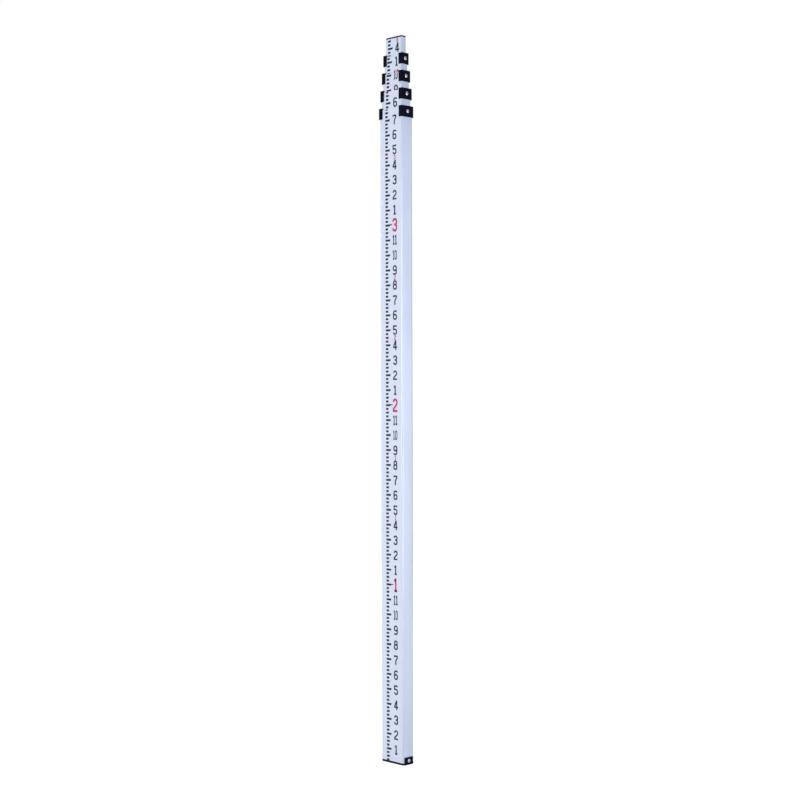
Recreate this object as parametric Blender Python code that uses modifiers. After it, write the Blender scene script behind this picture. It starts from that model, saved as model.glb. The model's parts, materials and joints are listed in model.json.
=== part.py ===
"""Telescopic leveling rod: five nested aluminium tubes, closed, standing on its foot cap.

Frame: origin at the centre of the foot cap's underside, +Z up the rod, the graduated
front face towards -Y and the right narrow side towards +X. Metres.
"""
import math

import bmesh
import bpy
from mathutils import Matrix, Vector

# Sections, numbered from the outermost (1) to the innermost (5)
SECTION_COUNT = 5
OUTER_WIDTH = 0.0520
OUTER_DEPTH = 0.0276
WALL = 0.0012
SLIDING_GAP = 0.0006
OUTER_CORNER = 0.0022
CORNER_STEP = 0.0001
FIRST_TOP = 1.110
STAGGER = 0.030
INNER_LENGTH = 1.1275
FIRST_TRAVEL = 0.8595
TRAVEL = 0.9700
TRAVEL_STEP = 0.0010

# The two back corners are rounder, so the flat of each narrow side is centred further forward
BACK_ROUNDING = 0.0035
SIDE_CENTRE = -BACK_ROUNDING / 2

# Fit between touching pieces
CLEARANCE = 0.0003

# Foot cap in the lower end of section 1
BAND_HEIGHT = 0.0030
BASE_PLUG_TOP = 0.0120
BASE_PLUG_WALL = 0.0030
BASE_HOLLOW_CORNER = 0.0010
EAR_WIDTH = 0.0190
EAR_HEIGHT = 0.0128
EAR_THICKNESS = 0.0012
BASE_RIVET_HEIGHT = 0.0066

# Top cap in the upper end of section 5
TOP_PLATE = 0.0020
TOP_PLUG_DEPTH = 0.0090

# Collar halves on the tops of sections 1 to 4
COLLAR_ABOVE = 0.0025
COLLAR_BELOW = 0.0160
COLLAR_SIDE = 0.0026
COLLAR_LIP = 0.0012
COLLAR_COVER = 0.0060
COLLAR_CORNER = 0.0022
COLLAR_CHAMFER = 0.0028
COLLAR_EDGE = 0.0004
RIM_LEDGE = 0.0011

# Blind rivets through the collars and the foot cap's ears
RIVET_HEAD_RADIUS = 0.00325
RIVET_HEAD_HEIGHT = 0.0010
RIVET_SHANK_RADIUS = 0.0018
MANDREL_HOLE_RADIUS = 0.0010
MANDREL_HOLE_DEPTH = 0.0012

# Plugs, cross pins, catch buttons and springs in the lower ends of sections 2 to 5
PLUG_HEIGHT = STAGGER - CLEARANCE
PIN_HEIGHT = 0.0240
PIN_RADIUS = 0.0015
BUTTON_HEIGHT = 0.0115
BUTTON_RADIUS = 0.0030
BUTTON_CHAMFER = 0.0004
BUTTON_PROUD = 0.0002
STEM_LENGTH = 0.0032
FLANGE_RADIUS = 0.0040
FLANGE_THICKNESS = 0.0010
BUTTON_BORE_RADIUS = 0.0044
SPRING_GAP = 0.0002
SPRING_LENGTH = 0.0044
SPRING_COIL_RADIUS = 0.0027
SPRING_WIRE_RADIUS = 0.0003
SPRING_TURNS = 4

# Fineness of the round shapes
CORNER_STEPS = 5
ROUND_STEPS = 16
DOME_STEPS = 3
COIL_STEPS = 10

for old in list(bpy.data.objects):
    bpy.data.objects.remove(old, do_unlink=True)

rod = bpy.data.collections.new("leveling_rod")
cutters = bpy.data.collections.new("cutters")
for group in (rod, cutters):
    bpy.context.scene.collection.children.link(group)


def material(name, colour, roughness, metallic=0.0):
    """Principled material for one kind of piece."""
    made = bpy.data.materials.new(name)
    made.use_nodes = True
    shader = made.node_tree.nodes["Principled BSDF"]
    shader.inputs["Base Color"].default_value = (*colour, 1.0)
    shader.inputs["Roughness"].default_value = roughness
    shader.inputs["Metallic"].default_value = metallic
    return made


def section_width(number):
    return OUTER_WIDTH - 2 * (WALL + SLIDING_GAP) * (number - 1)


def section_depth(number):
    return OUTER_DEPTH - 2 * (WALL + SLIDING_GAP) * (number - 1)


def section_corner(number):
    return OUTER_CORNER - CORNER_STEP * (number - 1)


def section_top(number):
    return FIRST_TOP + STAGGER * (number - 1)


def section_bottom(number):
    """Section 1 stands in the foot cap, and each other one on the plug of the tube outside it."""
    if number == 1:
        return BAND_HEIGHT + CLEARANCE
    return section_top(number) - INNER_LENGTH


def travel(number):
    """How far a section draws out of the tube outside it before its catch snaps home."""
    if number == 2:
        return FIRST_TRAVEL
    return TRAVEL - TRAVEL_STEP * (number - 2)


def rivet_height(number):
    """Height of the rivets through a section's collar halves."""
    return section_top(number) + (COLLAR_ABOVE - COLLAR_BELOW) / 2


def rounded_outline(width, depth, corner):
    """Rounded rectangle, anticlockwise, its two back corners rounder than its front ones."""
    points = []
    for quarter, (sx, sy) in enumerate(((1, 1), (-1, 1), (-1, -1), (1, -1))):
        radius = corner + BACK_ROUNDING if sy > 0 else corner
        centre = Vector((sx * (width / 2 - radius), sy * (depth / 2 - radius)))
        for step in range(CORNER_STEPS + 1):
            angle = math.pi / 2 * (quarter + step / CORNER_STEPS)
            points.append(centre + radius * Vector((math.cos(angle), math.sin(angle))))
    return points


def curve_to_mesh(drawn, name, group):
    """Swap a curve object for a mesh object with its caps welded on."""
    bpy.context.view_layer.update()
    evaluated = drawn.evaluated_get(bpy.context.evaluated_depsgraph_get())
    mesh = bpy.data.meshes.new_from_object(evaluated)
    mesh.name = name
    work = bmesh.new()
    work.from_mesh(mesh)
    bmesh.ops.remove_doubles(work, verts=work.verts, dist=1e-6)
    bmesh.ops.recalc_face_normals(work, faces=work.faces)
    work.to_mesh(mesh)
    work.free()
    piece = bpy.data.objects.new(name, mesh)
    piece.matrix_world = drawn.matrix_world
    group.objects.link(piece)
    bpy.data.objects.remove(drawn, do_unlink=True)
    return piece


def prism(name, outlines, low, high, group=cutters):
    """A flat curve filled between its outlines and extruded from one height to another."""
    curve = bpy.data.curves.new(name + "_outline", "CURVE")
    curve.dimensions = "2D"
    curve.fill_mode = "BOTH"
    curve.extrude = (high - low) / 2
    for outline in outlines:
        spline = curve.splines.new("POLY")
        spline.points.add(len(outline) - 1)
        spline.use_cyclic_u = True
        for point, (x, y) in zip(spline.points, outline):
            point.co = (x, y, 0, 1)
    drawn = bpy.data.objects.new(name + "_outline", curve)
    drawn.location.z = (low + high) / 2
    bpy.context.scene.collection.objects.link(drawn)
    return curve_to_mesh(drawn, name, group)


def mesh_object(name, work, group):
    """Make an object of a bmesh and free it."""
    mesh = bpy.data.meshes.new(name)
    work.to_mesh(mesh)
    work.free()
    piece = bpy.data.objects.new(name, mesh)
    group.objects.link(piece)
    return piece


def box(name, low, high, group=cutters):
    """A box between two corners."""
    low = Vector(low)
    high = Vector(high)
    place = Matrix.Translation((low + high) / 2) @ Matrix.Diagonal((*(high - low), 1))
    work = bmesh.new()
    bmesh.ops.create_cube(work, size=1, matrix=place)
    return mesh_object(name, work, group)


def cylinder(name, start, end, radius, group=cutters):
    """A round bar from one point to another."""
    start = Vector(start)
    run = Vector(end) - start
    place = Matrix.Translation(start + run / 2) @ run.to_track_quat("Z", "Y").to_matrix().to_4x4()
    work = bmesh.new()
    bmesh.ops.create_cone(work, cap_ends=True, segments=ROUND_STEPS, radius1=radius, radius2=radius,
                          depth=run.length, matrix=place)
    return mesh_object(name, work, group)


def turned(name, profile, start, direction):
    """A turned piece: (radius, distance) points from the outer end's centre down its outer side."""
    mesh = bpy.data.meshes.new(name)
    points = [(radius, 0, distance) for radius, distance in profile]
    mesh.from_pydata(points, [(i, i + 1) for i in range(len(points) - 1)], [])
    piece = bpy.data.objects.new(name, mesh)
    rod.objects.link(piece)
    screw = piece.modifiers.new("turn", "SCREW")
    screw.steps = ROUND_STEPS
    screw.render_steps = ROUND_STEPS
    screw.use_merge_vertices = True
    screw.merge_threshold = 1e-5
    piece.location = start
    piece.rotation_mode = "QUATERNION"
    piece.rotation_quaternion = Vector(direction).to_track_quat("Z", "Y")
    return piece


def combine(piece, tool, operation):
    """Join or cut a piece with a hidden tool, exactly."""
    tool.hide_render = True
    tool.display_type = "WIRE"
    step = piece.modifiers.new(f"{operation.lower()} {tool.name}", "BOOLEAN")
    step.operation = operation
    step.solver = "EXACT"
    step.object = tool


def drill(piece, name, start, end, radius):
    combine(piece, cylinder(name, start, end, radius), "DIFFERENCE")


def finish(piece, its_material, parent):
    """Give a piece its material and hang it on its section's slide."""
    piece.data.materials.append(its_material)
    piece.data.shade_smooth()
    piece.data.set_sharp_from_angle(angle=math.radians(35))
    piece.parent = parent
    piece.matrix_parent_inverse = parent.matrix_world.inverted()


def make_tube(number):
    """One section: a drawn tube drilled for its rivets, its cross pin and the catches."""
    width = section_width(number)
    depth = section_depth(number)
    corner = section_corner(number)
    low = section_bottom(number)
    outer = rounded_outline(width, depth, corner)
    inner = rounded_outline(width - 2 * WALL, depth - 2 * WALL, corner - WALL)
    tube = prism(f"section_{number}_tube", [outer, inner], low, section_top(number), rod)
    across = []
    if number == 1:
        across.append(("base_rivets", SIDE_CENTRE, BASE_RIVET_HEIGHT, RIVET_SHANK_RADIUS))
    else:
        across.append(("pin", 0, low + PIN_HEIGHT, PIN_RADIUS))
        height = low + BUTTON_HEIGHT
        drill(tube, f"button_window_{number}", (0, 0, height), (0, depth, height),
              BUTTON_RADIUS + CLEARANCE)
    if number < SECTION_COUNT:
        across.append(("collar_rivets", SIDE_CENTRE, rivet_height(number), RIVET_SHANK_RADIUS))
        height = section_bottom(number + 1) + BUTTON_HEIGHT + travel(number + 1)
        drill(tube, f"catch_hole_{number}", (0, 0, height), (0, depth, height),
              BUTTON_RADIUS + CLEARANCE)
    for word, y, height, radius in across:
        drill(tube, f"{word}_holes_{number}", (-width, y, height), (width, y, height),
              radius + CLEARANCE)
    return tube


def make_collar(number, word, side):
    """A moulded half collar: side plate, front and back lips, and a ledge over the tube's rim."""
    name = f"collar_{number}_{word}"
    width = section_width(number)
    depth = section_depth(number)
    corner = section_corner(number)
    top = section_top(number)
    low = top - COLLAR_BELOW
    high = top + COLLAR_ABOVE
    back = depth / 2 + COLLAR_LIP
    reach = width + depth
    whole = rounded_outline(width + 2 * COLLAR_SIDE, 2 * back, COLLAR_CORNER)
    collar = prism(name, [whole], low, high, rod)
    edge = collar.modifiers.new("edge", "BEVEL")
    edge.width = COLLAR_EDGE
    edge.segments = 1
    edge.limit_method = "ANGLE"
    edge.angle_limit = math.radians(60)
    cover = side * (width / 2 - COLLAR_COVER)
    ends = sorted((cover, -side * reach))
    other_half = box(name + "_other_half", (ends[0], -reach, 0), (ends[1], reach, 2 * high))
    combine(collar, other_half, "DIFFERENCE")
    seat = rounded_outline(width + 2 * CLEARANCE, depth + 2 * CLEARANCE, corner + CLEARANCE)
    combine(collar, prism(name + "_seat", [seat], low - reach, top + CLEARANCE), "DIFFERENCE")
    throat = rounded_outline(width - 2 * RIM_LEDGE, depth - 2 * RIM_LEDGE, corner - RIM_LEDGE)
    combine(collar, prism(name + "_throat", [throat], low - reach, high + reach), "DIFFERENCE")
    wedge = box(name + "_chamfer", (-reach, -COLLAR_CHAMFER, -COLLAR_CHAMFER),
                (reach, COLLAR_CHAMFER, COLLAR_CHAMFER))
    outwards = COLLAR_CHAMFER * (math.sqrt(2) - 1) / 2
    wedge.rotation_euler.x = math.radians(45)
    wedge.location = (0, back + outwards, high + outwards)
    combine(collar, wedge, "DIFFERENCE")
    height = rivet_height(number)
    drill(collar, name + "_rivet_hole", (0, SIDE_CENTRE, height), (side * reach, SIDE_CENTRE, height),
          RIVET_SHANK_RADIUS + CLEARANCE)
    return collar


def make_rivet(name, side, seat, height, length):
    """A blind rivet set from outside: domed head with its mandrel hole, and a plain shank."""
    profile = [(0, RIVET_HEAD_HEIGHT - MANDREL_HOLE_DEPTH),
               (MANDREL_HOLE_RADIUS, RIVET_HEAD_HEIGHT - MANDREL_HOLE_DEPTH)]
    first = math.acos(MANDREL_HOLE_RADIUS / RIVET_HEAD_RADIUS)
    for step in range(DOME_STEPS + 1):
        angle = first * (1 - step / DOME_STEPS)
        profile.append((RIVET_HEAD_RADIUS * math.cos(angle), RIVET_HEAD_HEIGHT * math.sin(angle)))
    profile += [(RIVET_SHANK_RADIUS, 0), (RIVET_SHANK_RADIUS, -length), (0, -length)]
    return turned(name, profile, (side * (seat + CLEARANCE), SIDE_CENTRE, height), (side, 0, 0))


def make_base_cap():
    """Foot cap: floor plate, hollow plug inside the tube, and an ear up each narrow side."""
    outer = rounded_outline(OUTER_WIDTH, OUTER_DEPTH, OUTER_CORNER)
    cap = prism("base_cap", [outer], 0, BAND_HEIGHT, rod)
    ear_face = OUTER_WIDTH / 2 + CLEARANCE + EAR_THICKNESS
    ears = box("ears", (-ear_face, SIDE_CENTRE - EAR_WIDTH / 2, 0),
               (ear_face, SIDE_CENTRE + EAR_WIDTH / 2, EAR_HEIGHT))
    combine(cap, ears, "UNION")
    seat = rounded_outline(OUTER_WIDTH + 2 * CLEARANCE, OUTER_DEPTH + 2 * CLEARANCE,
                           OUTER_CORNER + CLEARANCE)
    combine(cap, prism("foot_seat", [seat], BAND_HEIGHT, 2 * EAR_HEIGHT), "DIFFERENCE")
    inset = 2 * (WALL + CLEARANCE)
    plug = rounded_outline(OUTER_WIDTH - inset, OUTER_DEPTH - inset, OUTER_CORNER - WALL - CLEARANCE)
    combine(cap, prism("foot_plug", [plug], BAND_HEIGHT / 2, BASE_PLUG_TOP), "UNION")
    inset += 2 * BASE_PLUG_WALL
    hollow = rounded_outline(OUTER_WIDTH - inset, OUTER_DEPTH - inset, BASE_HOLLOW_CORNER)
    combine(cap, prism("foot_hollow", [hollow], BAND_HEIGHT, 2 * BASE_PLUG_TOP), "DIFFERENCE")
    drill(cap, "ear_holes", (-OUTER_WIDTH, SIDE_CENTRE, BASE_RIVET_HEIGHT),
          (OUTER_WIDTH, SIDE_CENTRE, BASE_RIVET_HEIGHT), RIVET_SHANK_RADIUS + CLEARANCE)
    return cap, ear_face


def make_top_cap():
    """Top cap: a plate over the innermost tube's rim, with a plug pressed into it."""
    width = section_width(SECTION_COUNT)
    depth = section_depth(SECTION_COUNT)
    corner = section_corner(SECTION_COUNT)
    low = section_top(SECTION_COUNT) + CLEARANCE
    cap = prism("top_cap", [rounded_outline(width, depth, corner)], low, low + TOP_PLATE, rod)
    inset = 2 * (WALL + CLEARANCE)
    plug = rounded_outline(width - inset, depth - inset, corner - WALL - CLEARANCE)
    combine(cap, prism("top_plug", [plug], low - TOP_PLUG_DEPTH, low + TOP_PLATE / 2), "UNION")
    return cap


def make_lock_plug(number, bore_floor):
    """Nylon block in a section's lower end, bored from the back for the catch."""
    inset = 2 * (WALL + CLEARANCE)
    width = section_width(number) - inset
    depth = section_depth(number) - inset
    low = section_bottom(number)
    outline = rounded_outline(width, depth, section_corner(number) - WALL - CLEARANCE)
    plug = prism(f"lock_plug_{number}", [outline], low, low + PLUG_HEIGHT, rod)
    height = low + BUTTON_HEIGHT
    drill(plug, f"button_bore_{number}", (0, bore_floor, height), (0, depth, height), BUTTON_BORE_RADIUS)
    height = low + PIN_HEIGHT
    drill(plug, f"pin_bore_{number}", (-width, 0, height), (width, 0, height), PIN_RADIUS + CLEARANCE)
    return plug


def make_lock_button(number, seat):
    """Flanged catch button, its origin on its flange and its tip towards the back."""
    height = section_bottom(number) + BUTTON_HEIGHT
    profile = [(0, STEM_LENGTH), (BUTTON_RADIUS - BUTTON_CHAMFER, STEM_LENGTH),
               (BUTTON_RADIUS, STEM_LENGTH - BUTTON_CHAMFER), (BUTTON_RADIUS, 0), (FLANGE_RADIUS, 0),
               (FLANGE_RADIUS, -FLANGE_THICKNESS), (0, -FLANGE_THICKNESS)]
    return turned(f"lock_button_{number}", profile, (0, seat, height), (0, 1, 0))


def make_lock_spring(number, far_end):
    """Compression spring between the bore's floor and the button's flange."""
    name = f"lock_spring_{number}"
    curve = bpy.data.curves.new(name, "CURVE")
    curve.dimensions = "3D"
    curve.bevel_depth = SPRING_WIRE_RADIUS
    curve.bevel_resolution = 2
    curve.use_fill_caps = True
    count = SPRING_TURNS * COIL_STEPS + 1
    spline = curve.splines.new("POLY")
    spline.points.add(count - 1)
    height = section_bottom(number) + BUTTON_HEIGHT
    rise = SPRING_LENGTH - 2 * SPRING_WIRE_RADIUS
    for index, point in enumerate(spline.points):
        angle = 2 * math.pi * index / COIL_STEPS
        along = far_end + SPRING_WIRE_RADIUS + rise * index / (count - 1)
        point.co = (SPRING_COIL_RADIUS * math.cos(angle), along,
                    height + SPRING_COIL_RADIUS * math.sin(angle), 1)
    drawn = bpy.data.objects.new(name + "_path", curve)
    bpy.context.scene.collection.objects.link(drawn)
    return curve_to_mesh(drawn, name, rod)


coated = material("coated_aluminium", (0.80, 0.83, 0.90), 0.35, 0.3)
plastic = material("navy_black_plastic", (0.012, 0.012, 0.028), 0.45)
nylon = material("white_nylon", (0.82, 0.81, 0.77), 0.5)
rivet_metal = material("rivet_aluminium", (0.75, 0.70, 0.71), 0.35, 1.0)
steel = material("bright_steel", (0.62, 0.62, 0.64), 0.3, 1.0)

outside = None
for number in range(1, SECTION_COUNT + 1):
    slide = bpy.data.objects.new(f"section_{number}_slide", None)
    slide.location.z = section_bottom(number)
    rod.objects.link(slide)
    bpy.context.view_layer.update()
    if outside:
        slide.parent = outside
        slide.matrix_parent_inverse = outside.matrix_world.inverted()
    bpy.context.view_layer.update()
    outside = slide

    finish(make_tube(number), coated, slide)

    if number == 1:
        base_cap, ear_face = make_base_cap()
        finish(base_cap, plastic, slide)
        shank = ear_face + CLEARANCE - (OUTER_WIDTH / 2 - WALL - BASE_PLUG_WALL)
        for word, side in (("right", 1), ("left", -1)):
            rivet = make_rivet(f"base_rivet_{word}", side, ear_face, BASE_RIVET_HEIGHT, shank)
            finish(rivet, rivet_metal, slide)
    else:
        catch_back = section_depth(number) / 2
        button_seat = catch_back + BUTTON_PROUD - STEM_LENGTH
        spring_far_end = button_seat - FLANGE_THICKNESS - SPRING_GAP - SPRING_LENGTH
        finish(make_lock_plug(number, spring_far_end - SPRING_GAP), nylon, slide)
        finish(make_lock_button(number, button_seat), steel, slide)
        finish(make_lock_spring(number, spring_far_end), steel, slide)
        pin_half = section_width(number) / 2 - CLEARANCE
        pin_z = section_bottom(number) + PIN_HEIGHT
        pin = cylinder(f"lock_pin_{number}", (-pin_half, 0, pin_z), (pin_half, 0, pin_z), PIN_RADIUS, rod)
        finish(pin, steel, slide)

    if number < SECTION_COUNT:
        collar_face = section_width(number) / 2 + COLLAR_SIDE
        for word, side in (("right", 1), ("left", -1)):
            finish(make_collar(number, word, side), plastic, slide)
            rivet = make_rivet(f"collar_{number}_rivet_{word}", side, collar_face,
                               rivet_height(number), COLLAR_SIDE + CLEARANCE + WALL)
            finish(rivet, rivet_metal, slide)
    else:
        finish(make_top_cap(), plastic, slide)
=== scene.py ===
import json
import math

import bmesh
import bpy
from mathutils import Matrix, Vector

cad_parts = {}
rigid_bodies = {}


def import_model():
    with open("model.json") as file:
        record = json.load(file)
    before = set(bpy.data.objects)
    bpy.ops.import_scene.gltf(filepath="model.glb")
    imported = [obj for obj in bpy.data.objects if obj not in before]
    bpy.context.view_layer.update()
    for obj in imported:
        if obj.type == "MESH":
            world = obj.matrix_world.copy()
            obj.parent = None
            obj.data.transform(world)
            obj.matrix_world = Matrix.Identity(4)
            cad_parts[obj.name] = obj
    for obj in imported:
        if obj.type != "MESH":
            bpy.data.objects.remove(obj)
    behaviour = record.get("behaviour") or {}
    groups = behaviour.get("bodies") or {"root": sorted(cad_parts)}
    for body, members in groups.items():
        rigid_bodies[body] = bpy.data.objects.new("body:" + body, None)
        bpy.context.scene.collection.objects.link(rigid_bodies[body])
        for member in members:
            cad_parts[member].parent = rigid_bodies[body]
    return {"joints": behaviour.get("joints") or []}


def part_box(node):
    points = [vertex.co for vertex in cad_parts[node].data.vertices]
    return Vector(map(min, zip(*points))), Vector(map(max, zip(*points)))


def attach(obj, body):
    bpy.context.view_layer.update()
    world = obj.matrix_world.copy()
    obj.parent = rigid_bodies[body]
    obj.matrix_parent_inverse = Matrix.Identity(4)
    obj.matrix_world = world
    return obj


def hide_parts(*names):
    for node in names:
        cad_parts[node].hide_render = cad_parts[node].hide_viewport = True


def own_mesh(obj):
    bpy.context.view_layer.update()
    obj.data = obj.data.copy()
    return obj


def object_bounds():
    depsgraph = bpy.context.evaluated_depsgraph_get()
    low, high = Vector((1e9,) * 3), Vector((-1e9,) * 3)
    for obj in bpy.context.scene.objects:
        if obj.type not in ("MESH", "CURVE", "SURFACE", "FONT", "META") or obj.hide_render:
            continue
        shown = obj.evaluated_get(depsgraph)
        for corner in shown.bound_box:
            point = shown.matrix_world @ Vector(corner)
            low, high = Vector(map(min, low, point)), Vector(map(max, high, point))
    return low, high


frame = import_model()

cad_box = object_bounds()

# ---------------------------------------------------------------------------
# Studio. The rod stands alone on a broad pale floor in a bright plain room, lit by a wide
# overhead lamp and tall soft boxes, and is seen from its front right at half its height.
# ---------------------------------------------------------------------------
VIEW_AZIMUTH = math.radians(45)
VIEW_DISTANCE = 2.596
VIEW_RISE = 0.0203
VIEW_ASIDE = 0.0046
VIEW_LIFT = 0.0004
VIEW_ROLL = math.radians(0.16)
LENS = 68.67
FLOOR_RADIUS = 3.0
LAMP_TARGET = 0.6

middle = (cad_box[0] + cad_box[1]) / 2


def around(azimuth, distance, height):
    """A point at an azimuth round the rod; 0 is straight in front of the scale, 90 to its right."""
    angle = math.radians(azimuth)
    return Vector((math.sin(angle) * distance, -math.cos(angle) * distance, height))


def placed(name, data):
    """A new object in the scene."""
    piece = bpy.data.objects.new(name, data)
    bpy.context.scene.collection.objects.link(piece)
    return piece


def mesh_of(name, work):
    """A mesh of a bmesh, which is freed."""
    mesh = bpy.data.meshes.new(name)
    work.to_mesh(mesh)
    work.free()
    return mesh


def point_at(thing, place, target):
    """Stand a camera or a lamp at a place, looking at a target."""
    thing.location = place
    thing.rotation_euler = (Vector(target) - Vector(place)).to_track_quat("-Z", "Y").to_euler()


camera = placed("camera", bpy.data.cameras.new("camera"))
camera.data.lens = LENS
camera.data.clip_end = 100
bpy.context.scene.camera = camera
aside = Vector((math.cos(VIEW_AZIMUTH), math.sin(VIEW_AZIMUTH), 0)) * VIEW_ASIDE
aim = Vector((0, 0, middle.z + VIEW_LIFT)) + aside
point_at(camera, around(math.degrees(VIEW_AZIMUTH), VIEW_DISTANCE, middle.z + VIEW_RISE), aim)
camera.rotation_euler.rotate_axis("Z", -VIEW_ROLL)

for name, azimuth, distance, height, size, power, colour in (
        ("overhead lamp", 20, 0.4, 7.5, 5.0, 300, (1.0, 0.99, 0.98)),
        ("front soft box", -16, 2.6, 0.7, 1.5, 41, (1.0, 0.99, 0.98)),
        ("right soft box", 107, 2.6, 0.5, 1.5, 42, (0.98, 0.98, 0.99)),
        ("back lamp", 200, 2.4, 4.4, 2.0, 60, (0.95, 0.97, 1.0)),
        ("camera fill", 46, 3.4, 1.5, 0.5, 2.5, (0.70, 0.78, 1.0))):
    lamp = bpy.data.lights.new(name, "AREA")
    lamp.size = size
    lamp.energy = power
    lamp.color = colour
    point_at(placed(name, lamp), around(azimuth, distance, height), (0, 0, LAMP_TARGET))


def seen_apart(tree, lit, seen, output):
    """Light the rod with one surface, and show another in its place."""
    rays = tree.nodes.new("ShaderNodeLightPath")
    choose = tree.nodes.new("ShaderNodeMixShader")
    tree.links.new(rays.outputs["Is Camera Ray"], choose.inputs["Fac"])
    tree.links.new(lit, choose.inputs[1])
    tree.links.new(seen, choose.inputs[2])
    tree.links.new(choose.outputs["Shader"], output.inputs["Surface"])


room = bpy.data.worlds.new("bright room")
room.use_nodes = True
bpy.context.scene.world = room
room_nodes = room.node_tree.nodes
seen = room_nodes["Background"]
seen.inputs["Color"].default_value = (1.0, 1.0, 1.0, 1)
seen.inputs["Strength"].default_value = 1.0
glow = room_nodes.new("ShaderNodeBackground")
glow.inputs["Color"].default_value = (0.62, 0.72, 1.0, 1)
glow.inputs["Strength"].default_value = 0.33
seen_apart(room.node_tree, glow.outputs["Background"], seen.outputs["Background"], room_nodes["World Output"])
bpy.context.scene.view_settings.view_transform = "Standard"


def new_material(name, colour, roughness, metallic=0.0):
    """A Principled material, its tree and its shader."""
    made = bpy.data.materials.new(name)
    made.use_nodes = True
    shader = made.node_tree.nodes["Principled BSDF"]
    shader.inputs["Base Color"].default_value = (*colour, 1)
    shader.inputs["Roughness"].default_value = roughness
    shader.inputs["Metallic"].default_value = metallic
    return made, made.node_tree, shader


floor_paint, tree, shader = new_material("floor paint", (0.42, 0.43, 0.45), 0.9)
bright = tree.nodes.new("ShaderNodeBsdfPrincipled")
bright.inputs["Base Color"].default_value = (0.9, 0.9, 0.9, 1)
bright.inputs["Roughness"].default_value = 0.9
bright.inputs["Emission Color"].default_value = (1.0, 1.0, 1.0, 1)
bright.inputs["Emission Strength"].default_value = 0.45
seen_apart(tree, shader.outputs["BSDF"], bright.outputs["BSDF"], tree.nodes["Material Output"])
disc = bmesh.new()
bmesh.ops.create_circle(disc, cap_ends=True, segments=96, radius=FLOOR_RADIUS)
floor = placed("floor", mesh_of("floor", disc))
floor.data.materials.append(floor_paint)

# ---------------------------------------------------------------------------
# Section tubes. Five drawn aluminium tubes, each sliding in the one outside it, anodised
# silver, with a shallow sunk panel down both wide faces that carries white stoved enamel
# and keeps the printing off the next tube's wall. Rims and drilled holes are deburred.
# ---------------------------------------------------------------------------
SECTIONS = (1, 2, 3, 4, 5)
WALL = 0.0012
OUTER_CORNER = 0.0022
CORNER_STEP = 0.0001
BACK_ROUNDING = 0.0035
SIDE_CENTRE = -BACK_ROUNDING / 2
CORNER_STEPS = 10
PANEL_SINK = 0.0002
PANEL_MARGIN = 0.0006
PANEL_SLOPE = 0.0004
DEBURR = 0.00015
WELD = 1e-7
SEAM_WELD = 1e-6
FACING = 0.6
SHARP_ANGLE = math.radians(60)
HOLE_RADIUS = 0.0033
RIVET_HOLE_RADIUS = 0.0021
PIN_HOLE_RADIUS = 0.0018

tube_boxes = {number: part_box(f"section_{number}_tube") for number in SECTIONS}
tube_size = {number: high - low for number, (low, high) in tube_boxes.items()}
slides = {joint["child"]: joint["range_m"][1] for joint in frame["joints"] if joint["type"] == "slide"}


def corner_of(number):
    """The radius of a section's outer corners at the front."""
    return OUTER_CORNER - CORNER_STEP * (number - 1)


def drawn_out(number):
    """How high a section stands above its closed place when the whole rod is drawn out."""
    return sum(slides[f"section_{inner}"] for inner in range(2, number + 1))


def noise(tree, scale, detail=4.0, roughness=0.5, seed=0.0):
    """Noise on object coordinates, with its own scale along each axis, in cycles per metre."""
    where = tree.nodes.new("ShaderNodeTexCoord")
    stretch = tree.nodes.new("ShaderNodeMapping")
    stretch.inputs["Scale"].default_value = scale
    stretch.inputs["Location"].default_value = (seed, seed, seed)
    grain = tree.nodes.new("ShaderNodeTexNoise")
    grain.inputs["Scale"].default_value = 1.0
    grain.inputs["Detail"].default_value = detail
    grain.inputs["Roughness"].default_value = roughness
    tree.links.new(where.outputs["Object"], stretch.inputs["Vector"])
    tree.links.new(stretch.outputs["Vector"], grain.inputs["Vector"])
    return grain.outputs["Fac"]


def spread(tree, value, low, high, start=0.3, end=0.7):
    """Map a 0 to 1 pattern to a range of numbers, or of colours."""
    if isinstance(low, tuple):
        ramp = tree.nodes.new("ShaderNodeValToRGB")
        ramp.color_ramp.elements[0].position = start
        ramp.color_ramp.elements[0].color = (*low, 1)
        ramp.color_ramp.elements[1].position = end
        ramp.color_ramp.elements[1].color = (*high, 1)
        tree.links.new(value, ramp.inputs["Fac"])
        return ramp.outputs["Color"]
    scaled = tree.nodes.new("ShaderNodeMapRange")
    scaled.inputs["From Min"].default_value = start
    scaled.inputs["From Max"].default_value = end
    scaled.inputs["To Min"].default_value = low
    scaled.inputs["To Max"].default_value = high
    tree.links.new(value, scaled.inputs["Value"])
    return scaled.outputs["Result"]


def mottled(tree, shader, pattern, dark, light, roughness, rougher, start=0.3, end=0.7):
    """Let a pattern vary a material's colour and roughness; start and end place the colours."""
    tree.links.new(spread(tree, pattern, dark, light, start, end), shader.inputs["Base Color"])
    tree.links.new(spread(tree, pattern, roughness, rougher), shader.inputs["Roughness"])


def raise_grain(tree, shader, height, strength, depth):
    """Let a pattern stand up as fine relief, its depth in metres."""
    bump = tree.nodes.new("ShaderNodeBump")
    bump.inputs["Strength"].default_value = strength
    bump.inputs["Distance"].default_value = depth
    tree.links.new(height, bump.inputs["Height"])
    tree.links.new(bump.outputs["Normal"], shader.inputs["Normal"])


anodised, tree, shader = new_material("anodised tube", (0.70, 0.77, 0.90), 0.38, 0.4)
draw_lines = noise(tree, (1400, 1400, 2.2), 5.0, 0.6)
clouds = noise(tree, (60, 60, 9), 3.0, 0.5, 7.0)
tree.links.new(spread(tree, draw_lines, (0.67, 0.735, 0.865), (0.745, 0.80, 0.905)),
               shader.inputs["Base Color"])
tree.links.new(spread(tree, clouds, 0.34, 0.46), shader.inputs["Roughness"])
raise_grain(tree, shader, draw_lines, 0.25, 0.00002)

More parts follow.
